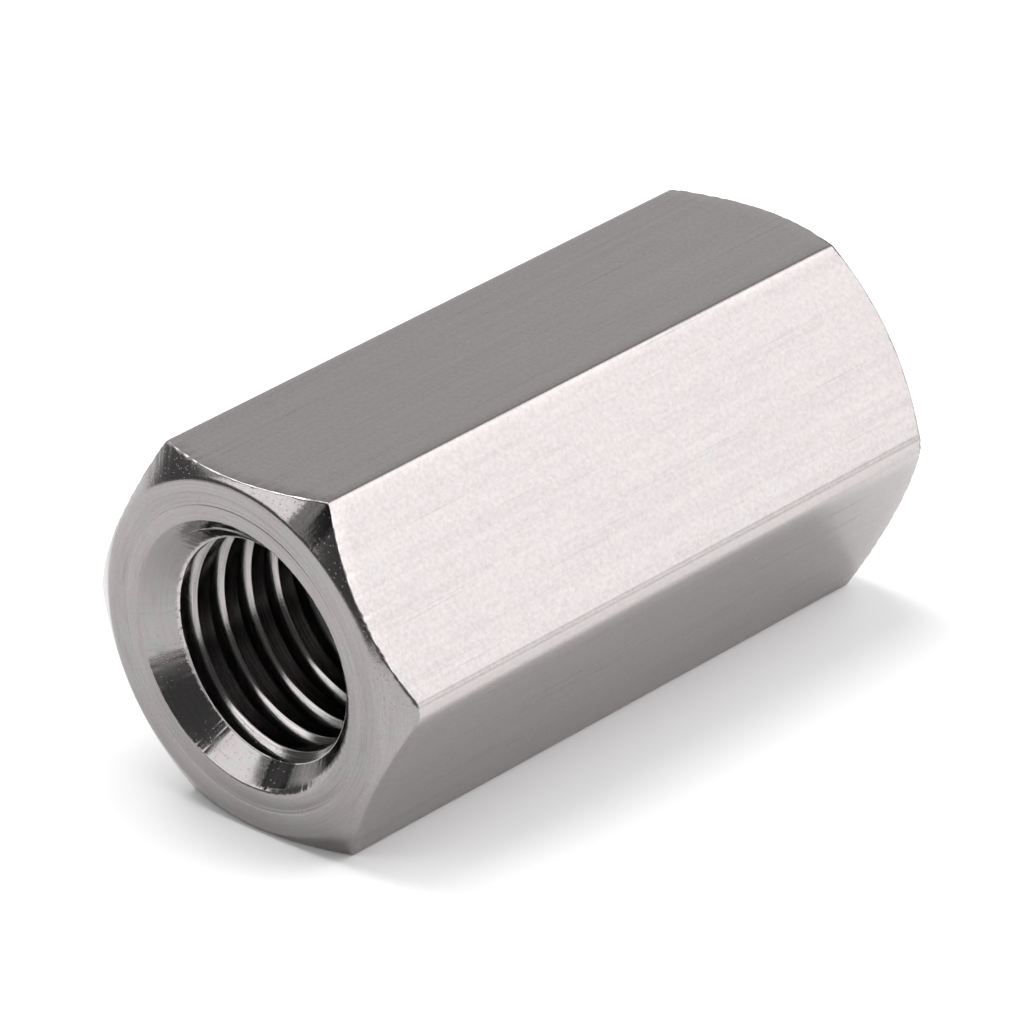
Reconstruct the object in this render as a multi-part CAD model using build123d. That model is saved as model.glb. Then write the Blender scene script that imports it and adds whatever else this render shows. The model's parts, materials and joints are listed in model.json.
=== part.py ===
"""Coupling nut: a long hexagon nut, threaded right through, that joins two rods end to end.

It is one piece of drawn hexagon steel bar, and it lies on one of its flats.  Its thread axis is
the Y axis, +Z is up, and the origin is at the middle of the nut.  Lengths are in millimetres.
"""

from build123d import *

import math
import os

# Drawn hexagon bar, cut to length
across_flats = 18.0
length = 36.0
corner_radius = 0.3

# Turned chamfer round each end
chamfer_angle = 34.5
flat_to_face = 0.34

# Threaded hole and the countersink at each of its mouths
thread_diameter = 12.0
thread_depth = 0.65
countersink_angle = 90.0
countersink_margin = 0.7

# Sizes that follow from those above
half_length = length / 2
corner_reach = across_flats / 2 / math.cos(math.radians(30))
face_radius = across_flats / 2 - flat_to_face
crest_radius = thread_diameter / 2 - thread_depth
countersink_radius = thread_diameter / 2 + countersink_margin


def revolved(points):
    """Solid of revolution about the thread axis, from (radius, distance along the axis) points."""
    outline = make_face(Polyline(*points, close=True))
    return revolve(outline, Axis.Y)


def hexagon_bar():
    """Length of drawn bar with softly rounded long corners, lying on a flat."""
    section = RegularPolygon(across_flats / 2, 6, major_radius=False)
    bar = extrude(Plane.XZ * section, half_length, both=True)
    return fillet(bar.edges().filter_by(Axis.Y), corner_radius)


def chamfer_envelope():
    """Turned envelope whose two cones cut the corners of the bar back at its ends."""
    reach = corner_reach * 1.1
    cone_length = (reach - face_radius) * math.tan(math.radians(chamfer_angle))
    return revolved(
        [
            (0, -half_length),
            (face_radius, -half_length),
            (reach, cone_length - half_length),
            (reach, half_length - cone_length),
            (face_radius, half_length),
            (0, half_length),
        ]
    )


def bore_tool():
    """What is removed for the hole: the tapping bore with a countersink at each mouth."""
    depth = (countersink_radius - crest_radius) / math.tan(math.radians(countersink_angle / 2))
    return revolved(
        [
            (0, -half_length),
            (countersink_radius, -half_length),
            (crest_radius, depth - half_length),
            (crest_radius, half_length - depth),
            (countersink_radius, half_length),
            (0, half_length),
        ]
    )


def coupling_nut():
    """The finished nut."""
    blank = hexagon_bar() & chamfer_envelope()
    return blank - bore_tool()


os.makedirs("parts", exist_ok=True)
nut = coupling_nut()
nut.label = "coupling_nut"
export_step(nut, "parts/coupling_nut.step")
print("coupling_nut", nut.bounding_box().size, nut.volume)
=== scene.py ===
# %% [markdown]
# # A coupling nut in bright drawn steel
# A coupling nut is a long hexagon nut that joins two threaded rods end to end.  It is one piece:
# a length of drawn hexagon bar, turned at both ends and tapped right through.
# The measured solid is loaded first.  Everything below takes its size and place from it, so that
# the piece which is seen and the piece which is measured stay the same nut.

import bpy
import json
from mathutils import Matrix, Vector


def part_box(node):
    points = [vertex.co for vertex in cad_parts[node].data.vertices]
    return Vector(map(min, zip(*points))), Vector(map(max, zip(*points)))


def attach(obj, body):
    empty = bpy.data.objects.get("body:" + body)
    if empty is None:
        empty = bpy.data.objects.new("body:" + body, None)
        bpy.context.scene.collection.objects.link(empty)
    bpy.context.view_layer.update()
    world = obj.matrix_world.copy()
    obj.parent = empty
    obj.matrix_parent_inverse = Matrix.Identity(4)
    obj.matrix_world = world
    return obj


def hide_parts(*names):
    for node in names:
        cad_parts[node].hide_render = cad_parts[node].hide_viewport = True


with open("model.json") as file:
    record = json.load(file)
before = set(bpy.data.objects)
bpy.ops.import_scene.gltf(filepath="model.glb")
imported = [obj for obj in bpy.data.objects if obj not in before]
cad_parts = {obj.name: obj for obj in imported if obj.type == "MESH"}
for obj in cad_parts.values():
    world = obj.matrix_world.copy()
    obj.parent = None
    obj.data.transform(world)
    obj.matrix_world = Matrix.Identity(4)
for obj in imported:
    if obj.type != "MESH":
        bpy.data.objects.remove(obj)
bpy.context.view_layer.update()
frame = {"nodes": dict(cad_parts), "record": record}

# %% Tools for the lesson
import json
import math

import bpy
import numpy as np
from mathutils import Quaternion, Vector

MM = 0.001

# %% [markdown]
# ## Sizes read from the measured solid
# Half the length and half the width across the flats are the sides of its box.  How softly the bar
# is drawn at its long corners shows in how far the box falls short of a sharp hexagon.  The end face
# and its chamfer are read from the vertices, and the hole from the record of where things fasten.
# The thread's own radius and pitch are in neither, and are those of the standard 12 mm thread.

# %% Sizes of the blank
low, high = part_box("coupling_nut")
half_length = high[1]
flat = high[2]
sixth = math.radians(60)
sharp_corner = flat / math.cos(sixth / 2)
recess = sharp_corner - high[0]
print("half length, flat and corner recess in mm:", [round(v / MM, 3) for v in (half_length, flat, recess)])

# %% Sizes of the turned ends
closeness = 0.001 * MM
solid = frame["nodes"]["coupling_nut"].data
points = np.empty(3 * len(solid.vertices))
solid.vertices.foreach_get("co", points)
points = points.reshape(-1, 3)
radii = np.hypot(points[:, 0], points[:, 2])
on_end = points[:, 1] < -half_length + closeness
face_radius = radii[on_end].max()
at_corner = radii > high[0] - closeness
chamfer_run = half_length + points[at_corner, 1].min()
chamfer_slope = chamfer_run / (high[0] - face_radius)
print("face radius in mm:", round(face_radius / MM, 3))
print("chamfer angle in degrees:", round(math.degrees(math.atan(chamfer_slope)), 2))

# %% Sizes of the hole
hole = next(m for m in frame["record"]["mounts"] if m["kind"] == "threaded_hole")
crest_radius = hole["dims"]["r_mm"] * MM
countersink_depth = half_length - hole["dims"]["length_mm"] * MM / 2
mouth_radius = crest_radius + countersink_depth
thread_radius = 6 * MM
pitch = 1.75 * MM
hole_radii = (crest_radius, thread_radius, mouth_radius)
print("crest, thread and mouth radius in mm:", [round(v / MM, 3) for v in hole_radii])

# %% [markdown]
# ## Columns round the axis
# The whole nut is one closed sheet of columns and rows.  A column is the cut through the wall at
# one angle, and a row runs round the axis.  The angle is measured from the top flat towards +X,
# so that a right-hand thread climbs along +Y as the angle grows.
# Columns are even over a flat and close together round a corner, where the bar is rounded.

# %% Column angles
flat_steps = 62
corner_steps = 12
corner_zone = 0.5 * MM
corner_half = corner_zone / sharp_corner


def column_angles():
    """Angles of one flat and one corner, repeated six times and closed by a last column at 360 degrees."""
    reach = sixth / 2 - corner_half
    over_flat = np.linspace(-reach, reach, flat_steps, endpoint=False)
    over_corner = np.linspace(reach, reach + 2 * corner_half, corner_steps, endpoint=False)
    sector = np.concatenate([over_flat, over_corner])
    turns = sixth * np.arange(6)
    angles = (turns[:, None] + sector[None, :]).ravel()
    return np.append(angles, angles[0] + 2 * math.pi)


angles = column_angles()
print("columns:", len(angles))

# %% [markdown]
# ## The drawn bar
# A bar is pulled through a hexagon die.  The die cannot fill a corner, so each flat falls away a
# little before its corner, and the two flats then run into each other in a small rounding.
# A circular fillet would leave a hard line where it meets the flat.  Two soft formulas are used
# instead: a parabola for the fall, and a logarithm that blends two distances into the smaller one.
# The corner at +X has been knocked about in the box of nuts, and is worn rounder than the others.

# %% Radius of the bar
fall_width = 0.6 * MM
fall_share = 0.5
worn_corner = 1
worn_recess = 0.19 * MM


def angle_on_flat(angle):
    """Angle from the middle of the nearest flat, without its sign."""
    return np.abs(np.mod(angle + sixth / 2, sixth) - sixth / 2)


def corner_distance(angle):
    """Distance along the flat from the long corner: flat (tan 30 - tan a)."""
    return flat * (math.tan(sixth / 2) - np.tan(angle_on_flat(angle)))


def corner_recess(angle):
    """How far the nearest corner falls short of a sharp one.  The corners are counted from 0 at the
    first one after the top flat, towards +X."""
    nearest = np.floor(np.mod(angle, 2 * math.pi) / sixth)
    return np.where(nearest == worn_corner, worn_recess, recess)


def bar_radius(angle):
    """On a flat the distance from the axis is R = (flat - fall) / cos a, and the other flat of the
    corner gives S = (flat - depth) / cos(60 - a).  They blend as R - b log(1 + exp((R - S) / b)).
    The fall and the blend each make up a share of the corner's recess."""
    a = angle_on_flat(angle)
    fall_depth = fall_share * corner_recess(angle) * math.cos(sixth / 2)
    blend = (1 - fall_share) * corner_recess(angle) / math.log(2)
    fall = fall_depth * np.clip(1 - corner_distance(angle) / fall_width, 0, 1) ** 2
    own = (flat - fall) / np.cos(a)
    other = (flat - fall_depth) / np.cos(sixth - a)
    return own - blend * np.log1p(np.exp((own - other) / blend))


outside = bar_radius(angles)
print("bar radius in mm from", round(outside.min() / MM, 3), "to", round(outside.max() / MM, 3))

# %% [markdown]
# ## Edges that are never quite true
# A lathe tool leaves a hair of burr where it runs off the bar, and the edge wanders by about a
# hundredth of a millimetre.  That is what makes a thin line of light along an edge look like metal.
# A row of random numbers, one for each column, is smoothed round the circle with a Fourier
# transform, so that it closes on itself.  The seed is fixed, so that the nut is the same each time.

# %% A ragged line round the axis


def ragged(grain, seed):
    """White noise over the columns, with wave k scaled by exp(-(k / grain)^2), brought to a spread of 1."""
    noise = np.random.default_rng(seed).normal(size=len(angles) - 1)
    waves = np.fft.rfft(noise)
    waves *= np.exp(-(np.arange(len(waves)) / grain) ** 2)
    line = np.fft.irfft(waves, len(noise))
    line /= line.std()
    return np.append(line, line[0])


wander = ragged(grain=25, seed=3)
nicks = ragged(grain=150, seed=5)
print("largest nick in spreads:", round(np.abs(nicks).max(), 2))

# %% [markdown]
# ## Profiles
# A profile is a list of (radius, place along the axis) corners, worked out for all columns at once.
# The chamfer is a cone, and the flats stand further out at the corners of the hexagon, so the cone
# meets the bar later there.  That is what draws the six arcs at each end.
# Each corner of a profile becomes a short curve, because the narrow rounding of an edge is what
# catches the light.

# %% Round the corners of a profile
curve_steps = np.linspace(0, 1, 4)[:, None]


def rounded(profile, reach):
    """Each inner corner P becomes the curve P + reach ((1 - t)^2 u + t^2 w), where u and w point to
    the corners before and after it.  Reach has one row for each column and one place for each corner."""
    corner, before, after = profile[:, 1:-1], profile[:, :-2], profile[:, 2:]
    u = (before - corner) / np.linalg.norm(before - corner, axis=2, keepdims=True)
    w = (after - corner) / np.linalg.norm(after - corner, axis=2, keepdims=True)
    bend = (1 - curve_steps) ** 2 * u[:, :, None] + curve_steps ** 2 * w[:, :, None]
    nodes = corner[:, :, None] + reach[..., None, None] * bend
    return np.concatenate([profile[:, :1], nodes.reshape(len(profile), -1, 2), profile[:, -1:]], axis=1)


# %% Outline of one end
mouth_reach = 0.05 * MM
soft_reach = 0.5 * MM
soft_angle = math.radians(115)
face_reach = 0.2 * MM
arc_reach = 0.11 * MM
start_depth = 0.45 * MM
bar_start = 1.0 * MM
edge_wander = 0.004 * MM * wander
rim_nicks = 0.006 * MM * nicks


def end_outline(radius):
    """From the countersink over the end face and up the chamfer to a point on the flat.  The chamfer
    rises by the slope from the face radius, and ends where it meets the bar.  The rim of the
    countersink is crisp, except on the side where the cutter left it round."""
    even = np.zeros_like(radius)
    soft = (0.5 + 0.5 * np.cos(angles - soft_angle)) ** 4
    arc = half_length - (radius + edge_wander - face_radius) * chamfer_slope
    corners = [
        (even + mouth_radius - start_depth, even + half_length - start_depth),
        (even + mouth_radius + rim_nicks, even + half_length),
        (even + face_radius + edge_wander, even + half_length),
        (radius, arc),
        (radius, arc - bar_start),
    ]
    profile = np.stack([np.stack(corner, axis=1) for corner in corners], axis=1)
    reach = np.stack([
        mouth_reach * (1 + 0.2 * nicks) + soft_reach * soft,
        face_reach * (1 + 0.1 * wander),
        arc_reach * np.clip(1 + 0.4 * nicks, 0.5, 1.8),
    ], axis=1)
    return rounded(profile, reach)


end = end_outline(outside)
print("rows over one end:", end.shape[1])

# %% [markdown]
# ## A turned ring in the end face
# The facing tool has left one faint groove round the end face, with a low ridge in the middle of it.
# It is only a few hundredths of a millimetre deep, but its slopes mirror other parts of the room
# than the face does, so it is seen as dark lines beside light ones.

# %% Ring groove
ring_radius = 7.56 * MM
ring_width = 0.36 * MM
ring_depth = 0.03 * MM
ring_steps = np.linspace(-1, 1, 9)
ring_shape = np.interp(ring_steps, [-1, -0.5, 0, 0.5, 1], [0, 1, 0.4, 1, 0])


def with_ring(profile):
    """More nodes across the groove: no depth at its sides, the full depth halfway, and the ridge in
    the middle.  The nodes halfway down each slope carry its tilt."""
    after = 1 + len(curve_steps)
    r = ring_radius + 0.5 * ring_width * ring_steps
    y = half_length - ring_depth * ring_shape
    groove = np.broadcast_to(np.stack([r, y], axis=1), (len(profile), len(r), 2))
    return np.concatenate([profile[:, :after], groove, profile[:, after:]], axis=1)


end = with_ring(end)
print("rows over one end with its ring:", end.shape[1])

# %% Outside of the nut
side_rows = 10


def outside_rows(end):
    """The near end, even rows along the flat, and the far end, which mirrors the near one in Y."""
    near = end * np.array([1, -1])
    far = end[:, ::-1]
    share = np.linspace(0, 1, side_rows + 1)[None, 1:-1, None]
    along = near[:, -1:] * (1 - share) + far[:, :1] * share
    return np.concatenate([near, along, far], axis=1)


blank = outside_rows(end)
first_side_row = end.shape[1] - 3
last_side_row = blank.shape[1] - end.shape[1] + 1
print("rows over the outside:", blank.shape[1])

# %% [markdown]
# ## The thread
# A tap cuts a groove that climbs by one pitch in each turn.  At one angle the wall of the hole is
# then a zigzag: crest, flank, root, flank.  From column to column the zigzag only moves along the
# axis, by pitch times the turned share of a circle.  The tap has rolled the edge of each crest that
# faces the near mouth, and this rounding is the bright line beside each dark groove.

# %% Sizes of the groove
thread_angle = math.radians(60)
groove_depth = thread_radius - crest_radius
root_width = pitch / 8
groove_width = root_width + 2 * groove_depth * math.tan(thread_angle / 2)
crest_width = pitch - groove_width
crest_round = 0.07 * MM
near_crest = 2.88 * MM
print("crest and groove width in mm:", round(crest_width / MM, 3), round(groove_width / MM, 3))

# %% Zigzag of the thread


def one_turn():
    """Nodes (radius, place along the axis) from one crest to the next: the rounded edge of the crest,
    its far edge and the two corners of the root."""
    t = curve_steps[:, 0]
    edge_y = crest_round * (t ** 2 - (1 - t) ** 2 * math.sin(thread_angle / 2))
    edge_r = crest_round * (1 - t) ** 2 * math.cos(thread_angle / 2)
    flank = (groove_width - root_width) / 2
    y = np.concatenate([edge_y, [crest_width, crest_width + flank, crest_width + flank + root_width]])
    r = crest_radius + np.concatenate([edge_r, [0, groove_depth, groove_depth]])
    return r, y


def thread_nodes(angle):
    """The turn repeated at every pitch and shifted by pitch * angle / full turn.  A third number
    counts the turns along the zigzag, for the finish of the thread."""
    r, y = one_turn()
    steps = np.hypot(np.diff(r, append=r[0]), np.diff(y, append=y[0] + pitch))
    run = np.concatenate([[0], np.cumsum(steps)[:-1]]) / steps.sum()
    count = math.ceil(2 * half_length / pitch) + 3
    start = near_crest - half_length - pitch * math.ceil(near_crest / pitch + 1)
    turns = np.arange(count)[:, None]
    along = (start + pitch * turns + y[None, :]).ravel()
    climb = pitch * angle / (2 * math.pi)
    grid = (len(angle), len(along))
    r = np.broadcast_to(np.tile(r, count), grid)
    run = np.broadcast_to((turns + run[None, :]).ravel(), grid)
    return np.stack([r, along[None, :] + climb[:, None], run], axis=2)


# %% [markdown]
# ## Where the countersink cuts the thread
# At each mouth a cone has cut the zigzag away, so the wall is wherever one of the two cutters
# reached further out.  A node is added exactly where the zigzag crosses the cone, which keeps the
# torn edge of the thread crisp.  Deep in the countersink the cutter has chattered a little.

# %% Cut the thread back at the mouths
chatter = 0.012 * MM * nicks[:, None]
calm_share = 0.35


def countersunk(y):
    """Radius of the cone at y: one step out for each step towards the mouth, plus the chatter, which
    grows with the depth past the calm share of the countersink."""
    depth = half_length - np.abs(y)
    return mouth_radius - depth + chatter * np.clip(depth / countersink_depth - calm_share, 0, 1)


def bore_rows(angle):
    """The zigzag with its crossing nodes, moved out to the cone wherever the cone is wider.  Nodes
    past the mouth all fall on the edge of the end's outline and are welded later.  A fourth number
    is the distance between the two cutters, which is nothing on the torn edge."""
    nodes = thread_nodes(angle)
    lift = nodes[..., 0] - countersunk(nodes[..., 1])
    gap = lift[:, :-1] - lift[:, 1:]
    share = np.clip(lift[:, :-1] / np.where(np.abs(gap) < 1e-12, 1, gap), 0, 1)[..., None]
    crossing = nodes[:, :-1] * (1 - share) + nodes[:, 1:] * share
    pairs = np.stack([nodes[:, :-1], crossing], axis=2).reshape(len(angle), -1, 3)
    nodes = np.concatenate([pairs, nodes[:, -1:]], axis=1)
    limit = half_length - start_depth
    y = np.clip(nodes[..., 1], -limit, limit)
    past = np.abs(nodes[..., 1]) > limit
    r = np.where(past, countersunk(y), np.maximum(nodes[..., 0], countersunk(y)))
    lip = np.abs(nodes[..., 0] - countersunk(nodes[..., 1]))
    return np.stack([r, y, nodes[..., 2], lip], axis=2)


bore = bore_rows(angles)
print("rows along the hole:", bore.shape[1])

# %% [markdown]
# ## From profiles to a mesh
# The two profiles are joined into one loop and turned round the axis.  Neighbouring nodes make
# squares, each split into two triangles.  Nodes that fall in one place are welded with a sort of
# the rounded coordinates, and triangles that lost a corner are dropped.  What is left is closed,
# which is proved by every edge having exactly two triangles.

# %% Turn the profiles round the axis


def turned_sheet(profile, angle):
    """Points (r sin a, y, r cos a) for every column and row."""
    r, y = profile[..., 0], profile[..., 1]
    return np.stack([r * np.sin(angle)[:, None], y, r * np.cos(angle)[:, None]], axis=2)


loop = np.concatenate([blank, bore[:, ::-1, :2]], axis=1)
sheet = turned_sheet(loop, angles)
columns, rows = sheet.shape[:2]
print("columns and rows:", columns, rows)

# %% Triangles of the sheet
index = np.arange(columns * rows).reshape(columns, rows)
a, b = index[:-1, :-1].ravel(), index[1:, :-1].ravel()
c, d = index[1:, 1:].ravel(), index[:-1, 1:].ravel()
node_triangles = np.concatenate([np.stack([a, b, c], axis=1), np.stack([a, c, d], axis=1)])
row_of = np.tile(np.arange(rows - 1), 2 * (columns - 1))

# %% Weld the sheet
weld_size = 0.0001 * MM
keys = np.round(sheet.reshape(-1, 3) / weld_size).astype(np.int64)
_, first, places = np.unique(keys, axis=0, return_index=True, return_inverse=True)
vertices = sheet.reshape(-1, 3)[first]
triangles = places.reshape(-1)[node_triangles]
following = np.roll(triangles, -1, axis=1)
whole = (triangles != following).all(axis=1)
triangles, node_triangles, row_of = triangles[whole], node_triangles[whole], row_of[whole]
print("vertices and triangles:", len(vertices), len(triangles))

# %% Check that the nut is closed and faces outwards
edges = np.sort(triangles[:, [0, 1, 1, 2, 2, 0]].reshape(-1, 2), axis=1)
_, uses = np.unique(edges, axis=0, return_counts=True)
p, q, s = (vertices[triangles[:, k]] for k in range(3))
volume = np.einsum("ij,ij->i", p, np.cross(q, s)).sum() / 6
print("open edges:", int((uses != 2).sum()), " volume in mm3:", round(volume / MM ** 3, 1))

# %% [markdown]
# ## Which tool made each surface
# The die drew the flats, the lathe turned the faces and chamfers, the countersink cut the mouths
# and the tap cut the thread.  Each leaves its own finish, so each triangle is given to one of them.

# %% Finish of each triangle
DRAWN, TURNED, SUNK, THREAD = 0, 1, 2, 3
cone_width = 0.02 * MM
cone_gap = np.abs(loop[..., 0] - countersunk(loop[..., 1])).ravel()[node_triangles]
on_cone = cone_gap.max(axis=1) < cone_width
finish_of = np.full(len(triangles), TURNED)
finish_of[(row_of >= first_side_row) & (row_of < last_side_row)] = DRAWN
finish_of[row_of >= blank.shape[1]] = THREAD
finish_of[on_cone] = SUNK
print("triangles by finish:", np.bincount(finish_of))

# %% [markdown]
# ## Numbers that the finishes need
# Wear and tool marks follow the edges and the thread, not the axes of the room.  So the mesh carries
# four numbers at each vertex, its distance in millimetres from the long corner, from the chamfer's
# arc, from the rims of the end face and from the torn edge of the thread, and a UV map that is
# unrolled along the thread.

# %% Distances from the edges
arc_place = half_length - (outside - face_radius) * chamfer_slope


def profile_distance(radius, along):
    """Straight distance in the cut, in mm, from every node to the point (radius, along) of its column,
    or to its mirror image at the far end."""
    return np.hypot(loop[..., 0] - radius, np.abs(loop[..., 1]) - along) / MM


from_corner = np.broadcast_to(corner_distance(angles)[:, None] / MM, (columns, rows)).ravel()[first]
from_arc = profile_distance(outside[:, None], arc_place[:, None]).ravel()[first]
from_rim = np.minimum(
    profile_distance(face_radius, half_length), profile_distance(mouth_radius, half_length)
).ravel()[first]
from_lip = np.concatenate([np.ones(blank.shape[:2]), bore[:, ::-1, 3] / MM], axis=1).ravel()[first]
print("largest distance from a corner in mm:", round(from_corner.max(), 2))

# %% Thread unrolled
turned_share = np.broadcast_to((angles / (2 * math.pi))[:, None], (columns, rows))
zigzag_run = np.concatenate([np.zeros(blank.shape[:2]), bore[:, ::-1, 2]], axis=1)
unrolled = np.stack([turned_share, zigzag_run], axis=2).reshape(-1, 2)[node_triangles]
print("turns along the zigzag:", round(zigzag_run.max(), 2))

# %% [markdown]
# ## Put the arrays into a mesh
# A mesh takes the arrays as they are.  Edges that turn by more than a set angle are marked sharp,
# and a Weighted Normal modifier then lets the large faces rule the shading, so that the flats
# stay flat right up to their rounded edges.

# %% Mesh of the nut
crease = math.radians(32)


def nut_mesh(name):
    """A mesh from the vertex and triangle arrays, smooth except across creases."""
    mesh = bpy.data.meshes.new(name)
    mesh.from_pydata(vertices.tolist(), [], triangles.tolist())
    mesh.polygons.foreach_set("use_smooth", np.ones(len(triangles), dtype=bool))
    mesh.set_sharp_from_angle(angle=crease)
    mesh.uv_layers.new(name="thread").data.foreach_set("uv", unrolled.ravel().astype(np.float32))
    distances = {"corner": from_corner, "arc": from_arc, "rim": from_rim, "lip": from_lip}
    for label, values in distances.items():
        mesh.attributes.new(label, "FLOAT", "POINT").data.foreach_set("value", values.astype(np.float32))
    mesh.update()
    return mesh


nut = bpy.data.objects.new("nut_body", nut_mesh("nut_body"))
bpy.context.scene.collection.objects.link(nut)
shading = nut.modifiers.new("Even shading", "WEIGHTED_NORMAL")
shading.keep_sharp = True
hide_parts("coupling_nut")
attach(nut, "root")
print("vertices in the mesh:", len(nut.data.vertices))

# %% [markdown]
# ## Node groups
# A finish is a small sum: a pattern makes a mask, the mask shades the metal, roughens it or raises
# it.  Patterns that more than one finish uses are node groups, built once with named sockets.
# The helpers below add one node each, so that a group reads like the sum that it is.

# %% Helpers for shader nodes


def feed(tree, socket, value):
    """Link an output to the socket, or set the socket to a plain number."""
    if isinstance(value, bpy.types.NodeSocket):
        tree.links.new(value, socket)
    else:
        socket.default_value = value


def calc(tree, operation, *values):
    """One Math node."""
    node = tree.nodes.new("ShaderNodeMath")
    node.operation = operation
    for socket, value in zip(node.inputs, values):
        feed(tree, socket, value)
    return node.outputs[0]


def vector_calc(tree, operation, *values):
    """One Vector Math node; a length comes from its second output."""
    node = tree.nodes.new("ShaderNodeVectorMath")
    node.operation = operation
    for socket, value in zip(node.inputs, values):
        feed(tree, socket, value)
    return node.outputs["Value"] if operation in ("LENGTH", "DOT_PRODUCT") else node.outputs[0]


def join(tree, x, y, z):
    """One Combine XYZ node."""
    node = tree.nodes.new("ShaderNodeCombineXYZ")
    for socket, value in zip(node.inputs, (x, y, z)):
        feed(tree, socket, value)
    return node.outputs[0]


# %% Helpers for patterns


def in_mm(tree, place):
    """A place in metres turned into millimetres."""
    return vector_calc(tree, "MULTIPLY", place, (1 / MM, 1 / MM, 1 / MM))


def ease(tree, value, start, end, low=0.0, high=1.0):
    """A smooth step from low at start to high at end."""
    node = tree.nodes.new("ShaderNodeMapRange")
    node.interpolation_type = "SMOOTHSTEP"
    for label, number in (("From Min", start), ("From Max", end), ("To Min", low), ("To Max", high)):
        feed(tree, node.inputs[label], number)
    feed(tree, node.inputs["Value"], value)
    return node.outputs[0]


def noise(tree, vector, detail=3.0, roughness=0.55):
    """A noise texture whose grain is one unit of the vector."""
    node = tree.nodes.new("ShaderNodeTexNoise")
    node.inputs["Scale"].default_value = 1
    node.inputs["Detail"].default_value = detail
    node.inputs["Roughness"].default_value = roughness
    tree.links.new(vector, node.inputs["Vector"])
    return node.outputs["Fac"]


# %% An empty group with named sockets


def new_group(name, numbers, outputs):
    """A group with one Vector input, named number inputs and named value outputs."""
    tree = bpy.data.node_groups.new(name, "ShaderNodeTree")
    tree.interface.new_socket("Vector", in_out="INPUT", socket_type="NodeSocketVector")
    for label, value in numbers.items():
        socket = tree.interface.new_socket(label, in_out="INPUT", socket_type="NodeSocketFloat")
        socket.default_value = value
    for label in outputs:
        tree.interface.new_socket(label, in_out="OUTPUT", socket_type="NodeSocketFloat")
    return tree, tree.nodes.new("NodeGroupInput").outputs, tree.nodes.new("NodeGroupOutput").inputs


# %% [markdown]
# ### Drawn streaks
# The die drags grit along the bar, so a drawn flat has fine lines that run with the axis.  Noise
# that is stretched many times along Y gives them.  The fine grain is everywhere, and only where a
# second noise runs high does it stand out as a bundle of streaks.

# %% Group of drawn streaks


def drawn_streaks():
    """Noise of (x / spacing, y / length, z / spacing): the grain, and streaks where the grain passes
    a threshold and a coarser noise lets it through."""
    tree, given, result = new_group(
        "drawn streaks", {"Spacing": 0.2, "Length": 8.0}, ["Grain", "Streaks"]
    )
    place = in_mm(tree, given["Vector"])
    across = join(tree, given["Spacing"], given["Length"], given["Spacing"])
    grain = noise(tree, vector_calc(tree, "DIVIDE", place, across), 4, 0.6)
    bundle_size = vector_calc(tree, "MULTIPLY", across, (9, 1.2, 9))
    bundles = noise(tree, vector_calc(tree, "DIVIDE", place, bundle_size), 1, 0.5)
    lines = ease(tree, grain, 0.54, 0.66)
    tree.links.new(grain, result["Grain"])
    tree.links.new(calc(tree, "MULTIPLY", lines, ease(tree, bundles, 0.42, 0.62)), result["Streaks"])
    return tree


streaks_group = drawn_streaks()
print("group:", streaks_group.name, len(streaks_group.nodes), "nodes")

# %% [markdown]
# ### Turning marks
# A tool that feeds across a turning end leaves rings.  The pattern reads the distance from the axis,
# and a little of the direction, so that a ring changes slowly as it goes round.

# %% Group of turning marks


def turning_marks():
    """With r the distance from the axis, the rings are noise of (r / spacing, 0, z / (r span)).  The
    marks are noise of (r / spacing + 0.7 x / (r span), 0.2 r, z / (r span)), so they cross the rings."""
    tree, given, result = new_group(
        "turning marks", {"Spacing": 0.1, "Span": 0.4}, ["Rings", "Marks", "Radius"]
    )
    flat_place = vector_calc(tree, "MULTIPLY", given["Vector"], (1 / MM, 0, 1 / MM))
    radius = vector_calc(tree, "LENGTH", flat_place)
    towards = vector_calc(tree, "NORMALIZE", flat_place)
    span = vector_calc(tree, "DIVIDE", towards, join(tree, given["Span"], 1, given["Span"]))
    ring = join(tree, calc(tree, "DIVIDE", radius, given["Spacing"]), 0, 0)
    ring_place = vector_calc(tree, "ADD", ring, vector_calc(tree, "MULTIPLY", span, (0, 0, 1)))
    rings = noise(tree, ring_place, 3, 0.6)
    leaning = vector_calc(tree, "ADD", ring, join(tree, 0, calc(tree, "MULTIPLY", radius, 0.2), 0))
    mark_place = vector_calc(tree, "ADD", leaning, vector_calc(tree, "MULTIPLY", span, (0.7, 0, 1)))
    marks = noise(tree, mark_place, 2, 0.5)
    tree.links.new(radius, result["Radius"])
    tree.links.new(rings, result["Rings"])
    tree.links.new(ease(tree, marks, 0.52, 0.7), result["Marks"])
    return tree


turning_group = turning_marks()
print("group:", turning_group.name, len(turning_group.nodes), "nodes")

# %% [markdown]
# ### Pits and clouds
# Bright bar is never quite even: it has tiny pits from the descaling, and faint clouds where the
# drawing oil has dulled it.  Cells with a small dot in a few of them make the pits, a coarse noise
# makes the clouds, and a fine one beside it the grain of the cut or drawn surface.

# %% Group of pits


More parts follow.
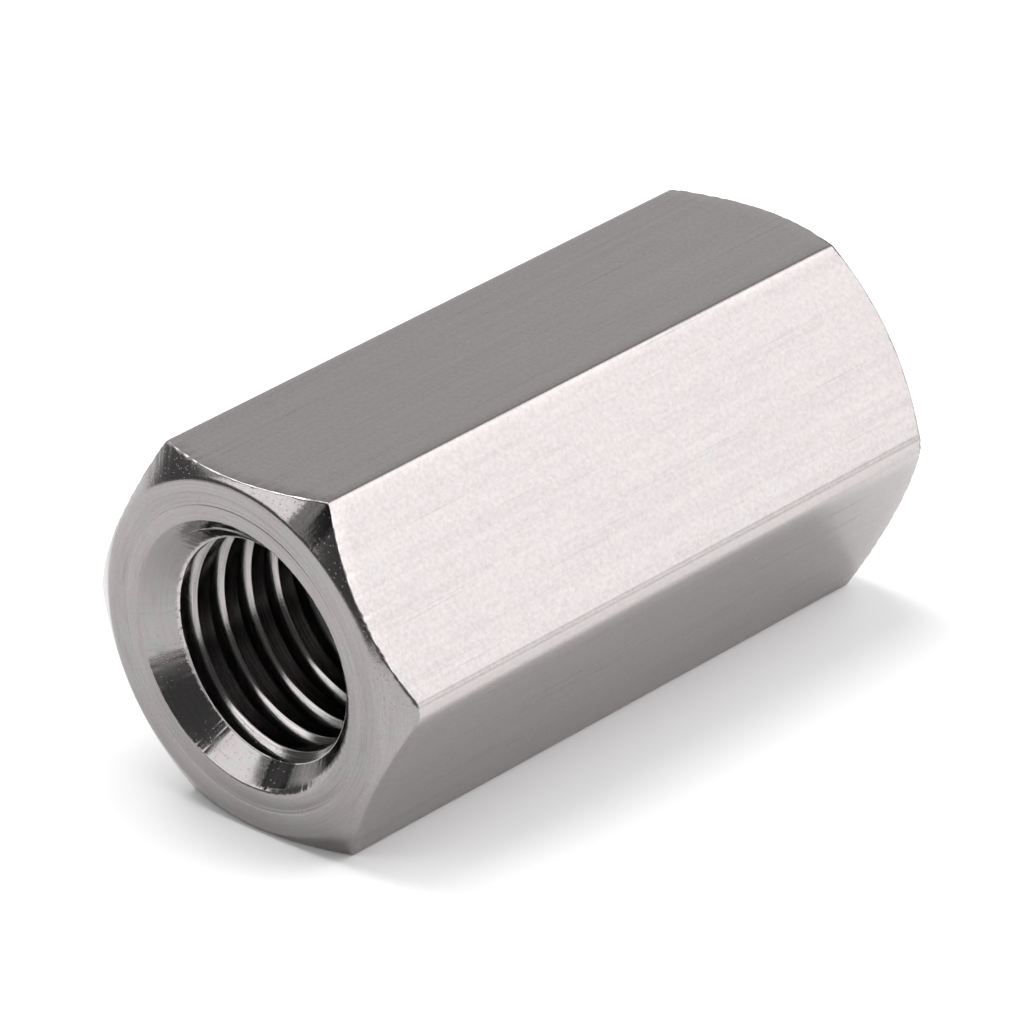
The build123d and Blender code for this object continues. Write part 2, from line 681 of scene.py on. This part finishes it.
def small_pits():
    """A dot round the point of each cell, kept in the share of the cells whose random number is low.
    A cell is three times as wide as its dot."""
    tree, given, result = new_group("small pits", {"Size": 0.12, "Share": 0.1}, ["Pits"])
    place = in_mm(tree, given["Vector"])
    cell = calc(tree, "MULTIPLY", given["Size"], 3)
    cells = tree.nodes.new("ShaderNodeTexVoronoi")
    cells.inputs["Scale"].default_value = 1
    tree.links.new(vector_calc(tree, "DIVIDE", place, join(tree, cell, cell, cell)), cells.inputs["Vector"])
    split = tree.nodes.new("ShaderNodeSeparateColor")
    tree.links.new(cells.outputs["Color"], split.inputs[0])
    chosen = calc(tree, "LESS_THAN", split.outputs[0], given["Share"])
    dot = ease(tree, cells.outputs["Distance"], 0.26, 0.08)
    tree.links.new(calc(tree, "MULTIPLY", chosen, dot), result["Pits"])
    return tree


pits_group = small_pits()
print("group:", pits_group.name, len(pits_group.nodes), "nodes")

# %% Group of clouds


def oil_clouds():
    """Coarse noise whose grain is the size in millimetres, and fine noise with an eighth of it."""
    tree, given, result = new_group("oil clouds", {"Size": 1.5}, ["Clouds", "Fine"])
    place = in_mm(tree, given["Vector"])
    size = join(tree, given["Size"], given["Size"], given["Size"])
    coarse = vector_calc(tree, "DIVIDE", place, size)
    tree.links.new(noise(tree, coarse, 2, 0.5), result["Clouds"])
    fine = noise(tree, vector_calc(tree, "MULTIPLY", coarse, (8, 8, 8)), 2, 0.6)
    tree.links.new(fine, result["Fine"])
    return tree


clouds_group = oil_clouds()
print("group:", clouds_group.name, len(clouds_group.nodes), "nodes")

# %% [markdown]
# ### Edge wear
# An edge is handled first: the metal there is burnished, scuffed or torn, in a narrow band.  The
# mesh's own distances say how far each point is from its edge, and noise breaks the band up, so that
# it does not look ruled.

# %% Group of edge wear


def edge_wear():
    """1 on the edge, falling smoothly to 0 at the width, which noise makes wider and narrower."""
    tree, given, result = new_group(
        "edge wear", {"Distance": 1.0, "Width": 0.3, "Unevenness": 0.5, "Grain": 0.25}, ["Wear"]
    )
    place = in_mm(tree, given["Vector"])
    grain = vector_calc(tree, "DIVIDE", place, join(tree, given["Grain"], given["Grain"], given["Grain"]))
    change = calc(tree, "MULTIPLY", calc(tree, "SUBTRACT", noise(tree, grain, 2, 0.5), 0.5), 2)
    factor = calc(tree, "ADD", 1, calc(tree, "MULTIPLY", change, given["Unevenness"]))
    width = calc(tree, "MULTIPLY", given["Width"], factor)
    tree.links.new(ease(tree, given["Distance"], width, 0), result["Wear"])
    return tree


wear_group = edge_wear()
print("group:", wear_group.name, len(wear_group.nodes), "nodes")

# %% [markdown]
# ## Materials
# All four finishes are the same steel, with Metallic at 1.  Most of the light and dark that is seen
# comes from what the metal mirrors, and some is painted into the colour as highlights and shades.  A
# finish shades the colour, changes the roughness, and raises the surface by some thousandths of a
# millimetre through a Bump node, whose distance is one micrometre so that heights are written in
# micrometres.

# %% Steel
MICRON = 0.001 * MM
steel_colour = (0.32, 0.295, 0.295)
oiled_colour = (0.301, 0.301, 0.295)


def new_metal(name, roughness):
    """A metal material; its tree, its shader and the Object coordinates.  The plain colour and
    roughness are for viewers that can't work the patterns out."""
    material = bpy.data.materials.new(name)
    material.use_nodes = True
    tree = material.node_tree
    shader = tree.nodes["Principled BSDF"]
    shader.inputs["Metallic"].default_value = 1
    shader.inputs["Base Color"].default_value = (*steel_colour, 1)
    shader.inputs["Roughness"].default_value = roughness
    place = tree.nodes.new("ShaderNodeTexCoord").outputs["Object"]
    return material, tree, shader, place


# %% Helpers for the finishes


def use(tree, group, vector, **numbers):
    """One copy of a group with its own numbers."""
    node = tree.nodes.new("ShaderNodeGroup")
    node.node_tree = group
    feed(tree, node.inputs["Vector"], vector)
    for label, value in numbers.items():
        feed(tree, node.inputs[label], value)
    return node.outputs


def from_mesh(tree, label):
    """One of the mesh's own numbers."""
    node = tree.nodes.new("ShaderNodeAttribute")
    node.attribute_name = label
    return node.outputs["Fac"]


def total(tree, *terms):
    """Sum of weight * value over the (weight, value) terms."""
    parts = [calc(tree, "MULTIPLY", value, weight) for weight, value in terms]
    result = parts[0]
    for part in parts[1:]:
        result = calc(tree, "ADD", result, part)
    return result


# %% Colour and height


def shaded_steel(tree, shader, oil, shade):
    """Steel turning to oiled steel by a mask, times a shade near 1, into Base Color."""
    mix = tree.nodes.new("ShaderNodeMix")
    mix.data_type = "RGBA"
    tree.links.new(oil, mix.inputs["Factor"])
    mix.inputs["A"].default_value = (*steel_colour, 1)
    mix.inputs["B"].default_value = (*oiled_colour, 1)
    colour = vector_calc(tree, "SCALE", mix.outputs["Result"])
    tree.links.new(shade, colour.node.inputs["Scale"])
    tree.links.new(colour, shader.inputs["Base Color"])


def raised(tree, shader, height):
    """A height in micrometres, through a Bump node, into Normal."""
    bump = tree.nodes.new("ShaderNodeBump")
    bump.inputs["Strength"].default_value = 1
    bump.inputs["Distance"].default_value = MICRON
    tree.links.new(height, bump.inputs["Height"])
    tree.links.new(bump.outputs["Normal"], shader.inputs["Normal"])


# %% Distance from a ray


def from_ray(tree, place, degrees):
    """Distance in mm from the ray that leaves the axis at an angle: the distance across it, plus the
    distance along it on the far side of the axis."""
    turn = math.radians(degrees)
    across = vector_calc(tree, "DOT_PRODUCT", place, (math.cos(turn) / MM, 0, -math.sin(turn) / MM))
    along = vector_calc(tree, "DOT_PRODUCT", place, (math.sin(turn) / MM, 0, math.cos(turn) / MM))
    other_side = calc(tree, "MAXIMUM", calc(tree, "MULTIPLY", along, -1), 0)
    return calc(tree, "ADD", calc(tree, "ABSOLUTE", across), other_side)


# %% [markdown]
# ### Drawn flats
# The flats are smooth and bright, with fine grey streaks along the axis, a few pits, faint clouds
# of oil, and a scuffed, slightly rougher band along the long corners, where bars rub together.
# Below the worn corner at +X a painted highlight brightens the flat, and a thin painted shade line runs just
# above it.

# %% Painted light beside the worn corner
band_top, band_edge = 0.36, 0.2
band_bottom, band_fade = -1.75, 1.9
dark_line_height = 0.46


def painted_light_beside_corner(tree, place):
    """The painted highlight band, which fades out below the corner, and a thin painted shade line above
    the band.  Both are masks of the height z in mm, on the side where x is positive."""
    split = tree.nodes.new("ShaderNodeSeparateXYZ")
    tree.links.new(in_mm(tree, place), split.inputs[0])
    x, _, z = split.outputs
    side = calc(tree, "GREATER_THAN", x, 1)
    # Painted highlight: a bright band round the worn corner, fading out below it, in the colour only.
    fading = calc(tree, "POWER", ease(tree, z, band_bottom, band_bottom + band_fade), 1.6)
    band = calc(tree, "MULTIPLY", fading, ease(tree, z, band_top, band_top - band_edge))
    # Painted shade: a thin dark line just above the bright band, in the colour only.
    from_dark_line = calc(tree, "ABSOLUTE", calc(tree, "SUBTRACT", z, dark_line_height))
    line = ease(tree, from_dark_line, 0.09, 0.02)
    return calc(tree, "MULTIPLY", band, side), calc(tree, "MULTIPLY", line, side)


# %% Material of the drawn flats


def drawn_flats():
    """Streaks, pits and fine grain darken the steel, and so does a painted shade line.  Broad bands and the
    burnished arc lighten it, and so does a painted highlight band.  Grain, streaks and scuffs roughen it.
    Grain and clouds raise it, and streaks and pits sink it."""
    material, tree, shader, place = new_metal("drawn flats", 0.2)
    streaks = use(tree, streaks_group, place, Spacing=0.08, Length=9.0)
    bands = use(tree, streaks_group, place, Spacing=0.35, Length=25.0)
    pits = use(tree, pits_group, place, Size=0.06, Share=0.04)
    clouds = use(tree, clouds_group, place, Size=1.6)
    corner, arc = from_mesh(tree, "corner"), from_mesh(tree, "arc")
    scuff = use(tree, wear_group, place, Distance=corner, Width=0.9, Unevenness=0.6, Grain=0.5)
    burnish = use(tree, wear_group, place, Distance=arc, Width=0.12, Unevenness=0.4, Grain=0.2)
    # Painted light beside the worn corner: a bright band and a dark line above it, colour only.
    painted_bright_band, painted_dark_line = painted_light_beside_corner(tree, place)
    shade = calc(tree, "ADD", 1.03, total(
        tree, (-0.12, streaks["Streaks"]), (0.06, streaks["Grain"]), (0.2, bands["Grain"]),
        (-0.2, pits["Pits"]), (0.05, clouds["Clouds"]), (-0.38, clouds["Fine"]), (0.05, burnish["Wear"]),
        (0.58, painted_bright_band), (-0.25, painted_dark_line),
    ))
    shaded_steel(tree, shader, ease(tree, clouds["Clouds"], 0.5, 0.75, 0, 0.5), shade)
    rough = total(tree, (0.08, streaks["Grain"]), (0.08, streaks["Streaks"]), (0.1, scuff["Wear"]))
    tree.links.new(calc(tree, "ADD", rough, 0.15), shader.inputs["Roughness"])
    raised(tree, shader, total(
        tree, (1.0, streaks["Grain"]), (-0.4, streaks["Streaks"]), (-3, pits["Pits"]), (5, clouds["Clouds"]),
    ))
    return material


# %% [markdown]
# ### Turned ends
# The end faces and the chamfers carry fine rings.  On the chamfer they show as speckle, because
# the cutter met the bar six times in each turn and knocked a little at every corner.  At one corner
# it knocked hardest and left the chamfer torn, and a painted shade darkens the chamfer there.

# %% Material of the turned ends


def turned_ends():
    """Rings lighten the steel, fine grain and the marks on the face darken it, and a painted shade
    darkens the torn corner of the chamfer to a quarter.  Rings, rims and fine grain roughen it.
    Rings and fine grain raise it, and marks and specks sink it.  The specks are the pits, faint on the
    face and deep on the chamfer."""
    material, tree, shader, place = new_metal("turned ends", 0.2)
    marks = use(tree, turning_group, place, Spacing=0.09, Span=0.35)
    clouds = use(tree, clouds_group, place, Size=1.1)
    pits = use(tree, pits_group, place, Size=0.045, Share=0.4)
    chamfer = ease(tree, marks["Radius"], face_radius / MM, face_radius / MM + 0.15)
    # Painted shade: the torn corner of the chamfer near the ray at 30 degrees, with pitted bumps.
    torn_corner_and_painted_shade_edge = calc(tree, "ADD", from_ray(tree, place, 30), calc(tree, "MULTIPLY", clouds["Fine"], 0.8))
    torn_corner_and_painted_shade = calc(tree, "MULTIPLY", chamfer, ease(tree, torn_corner_and_painted_shade_edge, 1.6, 1.0))
    specks = total(tree, (0.15, pits["Pits"]), (0.7, calc(tree, "MULTIPLY", pits["Pits"], chamfer)))
    faced = calc(tree, "MULTIPLY", marks["Marks"], calc(tree, "SUBTRACT", 1, chamfer))
    edge = from_mesh(tree, "rim")
    rim = use(tree, wear_group, place, Distance=edge, Width=0.12, Unevenness=0.5, Grain=0.2)
    shade = calc(tree, "ADD", 0.9, total(
        tree, (0.3, marks["Rings"]), (-0.12, faced), (0.08, clouds["Clouds"]),
        (-0.3, clouds["Fine"]), (-0.05, rim["Wear"]),
    ))
    # The painted shade darkens the colour of that corner to a quarter.
    shade = calc(tree, "MULTIPLY", shade, ease(tree, torn_corner_and_painted_shade, 0, 1, 1, 0.25))
    shaded_steel(tree, shader, ease(tree, clouds["Clouds"], 0.45, 0.65, 0, 0.7), shade)
    rough = total(tree, (0.08, marks["Rings"]), (0.05, rim["Wear"]), (0.08, clouds["Fine"]))
    tree.links.new(calc(tree, "ADD", rough, 0.1), shader.inputs["Roughness"])
    raised(tree, shader, total(
        tree, (0.9, marks["Rings"]), (-0.6, faced), (3.5, clouds["Fine"]), (-9, specks),
        (-12, calc(tree, "MULTIPLY", pits["Pits"], torn_corner_and_painted_shade)),
    ))
    return material


# %% [markdown]
# ### Countersunk mouths
# The countersink has dragged the steel round in coarse streaks, and torn it near the thread, which
# gives the sparkle of small bright and dark specks beside the first turn; a painted highlight lights
# that torn edge.  Low down it has torn the steel right across in one patch, which a painted shade darkens.

# %% Material of the countersunk mouths


def countersunk_mouths():
    """Rings lighten the steel and a painted highlight lights the torn edge of the thread; marks and fine
    grain darken it, and a painted shade darkens the torn patch to a seventh between its beads.  The
    torn edge is rough and stands up.  Specks and beads rise where the steel is torn."""
    material, tree, shader, place = new_metal("countersunk mouths", 0.2)
    marks = use(tree, turning_group, place, Spacing=0.12, Span=0.3)
    clouds = use(tree, clouds_group, place, Size=0.6)
    pits = use(tree, pits_group, place, Size=0.05, Share=0.6)
    beads = use(tree, pits_group, place, Size=0.09, Share=0.6)
    lip = from_mesh(tree, "lip")
    # The torn edge is rough and raised, and its colour carries a painted highlight.
    torn_edge_and_painted_highlight = use(tree, wear_group, place, Distance=lip, Width=0.16, Unevenness=0.9, Grain=0.15)
    # Painted shade: the torn patch low in the mouth, near the ray at 169 degrees.
    torn_patch_and_painted_shade_edge = calc(tree, "ADD", from_ray(tree, place, 169), calc(tree, "MULTIPLY", clouds["Fine"], 0.6))
    torn_patch_and_painted_shade = ease(tree, torn_patch_and_painted_shade_edge, 1.3, 0.95)
    shade = calc(tree, "ADD", 0.95, total(
        tree, (0.16, marks["Rings"]), (-0.06, marks["Marks"]), (-0.20, clouds["Fine"]), (1.2, torn_edge_and_painted_highlight["Wear"]),
    ))
    patch_painted_shade = calc(tree, "MULTIPLY", torn_patch_and_painted_shade, calc(tree, "SUBTRACT", 1, beads["Pits"]))
    # The painted shade darkens the patch's colour to 0.15, except on its beads.
    shade = calc(tree, "MULTIPLY", shade, ease(tree, patch_painted_shade, 0, 1, 1, 0.15))
    shaded_steel(tree, shader, ease(tree, clouds["Clouds"], 0.45, 0.6), shade)
    rough = total(tree, (0.1, marks["Rings"]), (0.35, torn_edge_and_painted_highlight["Wear"]))
    tree.links.new(calc(tree, "ADD", rough, 0.1), shader.inputs["Roughness"])
    specks = calc(tree, "MULTIPLY", pits["Pits"], total(tree, (1, torn_edge_and_painted_highlight["Wear"]), (0.8, torn_patch_and_painted_shade), (0.12, 1.0)))
    raised(tree, shader, total(
        tree, (30, specks), (30, torn_edge_and_painted_highlight["Wear"]), (2.0, clouds["Fine"]), (0.4, marks["Rings"]),
        (60, calc(tree, "MULTIPLY", beads["Pits"], total(tree, (1, torn_edge_and_painted_highlight["Wear"]), (0.4, torn_patch_and_painted_shade)))),
    ))
    return material


# %% [markdown]
# ### Cut thread
# The tap leaves lines that run with the helix.  The pattern reads the UV map: the part of its second
# number after the point says where on the zigzag a point lies, the same in each turn, and the
# Object coordinates let the lines change slowly as they go round.

# %% Material of the cut thread


def cut_thread():
    """Lines are noise of (x / 2 mm, 30 times the part of the turn, z / 2 mm), shifted from turn to
    turn.  They lighten, roughen and raise the steel, the fine grain lightens and raises it, and pits
    darken and sink it."""
    material, tree, shader, place = new_metal("cut thread", 0.3)
    unrolled_place = tree.nodes.new("ShaderNodeUVMap")
    unrolled_place.uv_map = "thread"
    split = tree.nodes.new("ShaderNodeSeparateXYZ")
    tree.links.new(unrolled_place.outputs[0], split.inputs[0])
    across = calc(tree, "FRACT", split.outputs["Y"])
    slow = vector_calc(tree, "MULTIPLY", place, (0.5 / MM, 0, 0.5 / MM))
    turn = join(tree, 0, calc(tree, "MULTIPLY", calc(tree, "FLOOR", split.outputs["Y"]), 3.7), 0)
    lines_place = vector_calc(tree, "ADD", slow, join(tree, 0, calc(tree, "MULTIPLY", across, 30), 0))
    lines = noise(tree, vector_calc(tree, "ADD", lines_place, turn), 3, 0.6)
    clouds = use(tree, clouds_group, place, Size=0.8)
    pits = use(tree, pits_group, place, Size=0.06, Share=0.1)
    shade = calc(tree, "ADD", 0.7, total(
        tree, (0.4, ease(tree, lines, 0.38, 0.6)), (0.3, clouds["Fine"]), (-0.3, pits["Pits"]),
    ))
    shaded_steel(tree, shader, ease(tree, clouds["Clouds"], 0.45, 0.6), shade)
    tree.links.new(calc(tree, "ADD", 0.1, calc(tree, "MULTIPLY", lines, 0.12)), shader.inputs["Roughness"])
    raised(tree, shader, total(tree, (2.5, lines), (3, clouds["Fine"]), (-4, pits["Pits"])))
    return material


# %% Give the finishes to the nut
for material in (drawn_flats(), turned_ends(), countersunk_mouths(), cut_thread()):
    nut.data.materials.append(material)
    print("material:", material.name, len(material.node_tree.nodes), "nodes")
nut.data.polygons.foreach_set("material_index", finish_of.astype(np.int32))

# %% [markdown]
# ## The floor
# The nut lies on a sheet of white paper.  It is flat, dull and almost white, and it is as much a
# part of the picture as the lamps are: the end face and the lower flat mirror nothing else.  It ends
# a hand's breadth in front of the nut, and past its edge the thread mirrors only the dark.

# %% Floor
floor_size = 6.0
front_margin = 0.09
paper_white = 0.97


def floor_mesh():
    """Four corners at the height of the flat that the nut lies on.  The near edge is a little in
    front of the nut, and the other three are far off."""
    across = np.array([-0.5, 0.5, 0.5, -0.5]) * floor_size
    near, far = -half_length - front_margin, 0.5 * floor_size
    along = np.array([near, near, far, far])
    corners = np.stack([across, along, np.full(4, low[2])], axis=1)
    mesh = bpy.data.meshes.new("floor")
    mesh.from_pydata(corners.tolist(), [], [[0, 1, 2, 3]])
    return mesh


def white_paper():
    """A dull white with no shine."""
    material = bpy.data.materials.new("white paper")
    material.use_nodes = True
    shader = material.node_tree.nodes["Principled BSDF"]
    shader.inputs["Base Color"].default_value = (paper_white, paper_white, paper_white, 1)
    shader.inputs["Roughness"].default_value = 1
    shader.inputs["Specular IOR Level"].default_value = 0
    return material


floor = bpy.data.objects.new("floor", floor_mesh())
floor.data.materials.append(white_paper())
bpy.context.scene.collection.objects.link(floor)

# %% [markdown]
# ## The room
# Polished metal is lit by what it mirrors.  The room is pale behind and beside the nut and dark in
# front of it, where the camera stands, with a darker ceiling at the back, a window on the left and a
# dark doorway low down on the right.  The dark part in front shades the chamfer and the mouth, and
# the doorway draws the thin dark line along the arc on the right.  A few smooth steps on the
# direction of a ray draw it.

# %% World
room_level = 0.85
dim_level = 0.11
ceiling_share = 0.42


def make_world():
    """The room's level times the ceiling's share high up at the back, and down to the dim level in
    front and in the doorway.  The dark starts at the horizon, and more softly on the right."""
    world = bpy.data.worlds.new("studio")
    world.use_nodes = True
    tree = world.node_tree
    split = tree.nodes.new("ShaderNodeSeparateXYZ")
    tree.links.new(tree.nodes.new("ShaderNodeTexCoord").outputs["Generated"], split.inputs[0])
    x, y, z = split.outputs
    full_dark = ease(tree, x, 0.35, 0.5, -0.05, 0.25)
    above = ease(tree, z, -0.14, full_dark)
    front = ease(tree, y, -0.1, -0.3)
    window = calc(tree, "MULTIPLY", ease(tree, x, -0.66, -0.78), ease(tree, z, 0.3, 0.4))
    front = calc(tree, "MULTIPLY", front, calc(tree, "SUBTRACT", 1, window))
    doorway = calc(tree, "MULTIPLY", ease(tree, x, 0.78, 0.88), ease(tree, y, 0.4, 0.2))
    doorway = calc(tree, "MULTIPLY", doorway, ease(tree, z, 0.42, 0.32))
    dim = calc(tree, "MULTIPLY", above, calc(tree, "MAXIMUM", front, doorway))
    back = calc(tree, "MULTIPLY", ease(tree, y, 0.2, 0.5), ease(tree, z, 0.48, 0.6))
    room = calc(tree, "MULTIPLY", room_level, ease(tree, back, 0, 1, 1, ceiling_share))
    pale = calc(tree, "MULTIPLY", room, calc(tree, "SUBTRACT", 1, dim))
    level = calc(tree, "ADD", pale, calc(tree, "MULTIPLY", dim, dim_level))
    tree.links.new(level, tree.nodes["Background"].inputs["Strength"])
    tree.nodes["Background"].inputs["Color"].default_value = (1, 1, 1, 1)
    return world


bpy.context.scene.world = make_world()
print("world:", bpy.context.scene.world.name, "at a level of", room_level)

# %% [markdown]
# ## The lamps
# Five soft boxes stand round the nut.  Two behind it, one over the other, are mirrored by the bright
# flat and by its top edge.  The upright one in front is mirrored by the chamfer, the mouth and the
# thread, where its straight side starts every bright strip at the same angle.  The one above makes
# the thin line of the top arc, and the one overhead only thins the shadow beside the nut.

# %% Soft boxes


def soft_box(name, bearing, elevation, distance, width, height, radiance, upright=False):
    """A rectangular lamp facing the nut, or facing level where it is upright.  The bearing is turned
    from -Y towards +X.  A flat lamp of area A gives off pi A times its radiance."""
    lamp = bpy.data.lights.new(name, "AREA")
    lamp.shape = "RECTANGLE"
    lamp.size, lamp.size_y = width, height
    lamp.energy = math.pi * width * height * radiance
    box = bpy.data.objects.new(name, lamp)
    turn, rise = math.radians(bearing), math.radians(elevation)
    level = Vector((math.sin(turn), -math.cos(turn), 0))
    towards = level * math.cos(rise) + Vector((0, 0, math.sin(rise)))
    box.location = towards * distance
    box.rotation_euler = (level if upright else towards).to_track_quat("Z", "Y").to_euler()
    bpy.context.scene.collection.objects.link(box)
    print("lamp:", name, "of", round(lamp.energy, 2), "W")


# Name, bearing and elevation in degrees, distance, width and height in metres, and radiance
soft_box("soft box behind", 135.5, 12.3, 0.7, 0.62, 0.26, 1.75)
soft_box("soft box behind, over the first", 135.5, 44, 0.7, 0.62, 0.54, 2.7)
soft_box("soft box above", -90, 53, 0.7, 0.35, 0.35, 3.2)
soft_box("soft box in front", -28.5, 36.8, 0.874, 0.55, 0.68, 2.15, upright=True)
soft_box("soft box overhead", -90, 77, 0.7, 0.45, 0.45, 3.2)

# %% [markdown]
# ## The camera
# It looks along the hole from the right and a little above, from far off with a long lens, so that
# the nut's long edges hardly draw together.  The frame is turned by a few degrees, as a hand-held
# frame would be.

# %% Camera
camera_azimuth = math.radians(45.39)
camera_elevation = math.radians(26.86)
camera_roll = math.radians(-3.59)
camera_distance = 416.95 * MM
camera_lens = 314.9
aim = Vector((-0.160, -0.088, 0.103)) * MM


def make_camera():
    """Back along the view from the aim point, with the frame turned about the view by the roll."""
    data = bpy.data.cameras.new("camera")
    data.lens, data.sensor_width = camera_lens, 36
    data.clip_start = 0.01
    camera = bpy.data.objects.new("camera", data)
    back = Vector((
        math.sin(camera_azimuth) * math.cos(camera_elevation),
        -math.cos(camera_azimuth) * math.cos(camera_elevation),
        math.sin(camera_elevation),
    ))
    camera.location = aim + back * camera_distance
    level = back.to_track_quat("Z", "Y")
    camera.rotation_mode = "QUATERNION"
    camera.rotation_quaternion = level @ Quaternion((0, 0, 1), camera_roll)
    bpy.context.scene.collection.objects.link(camera)
    return camera


bpy.context.scene.camera = make_camera()
bpy.context.scene.view_settings.view_transform = "Standard"
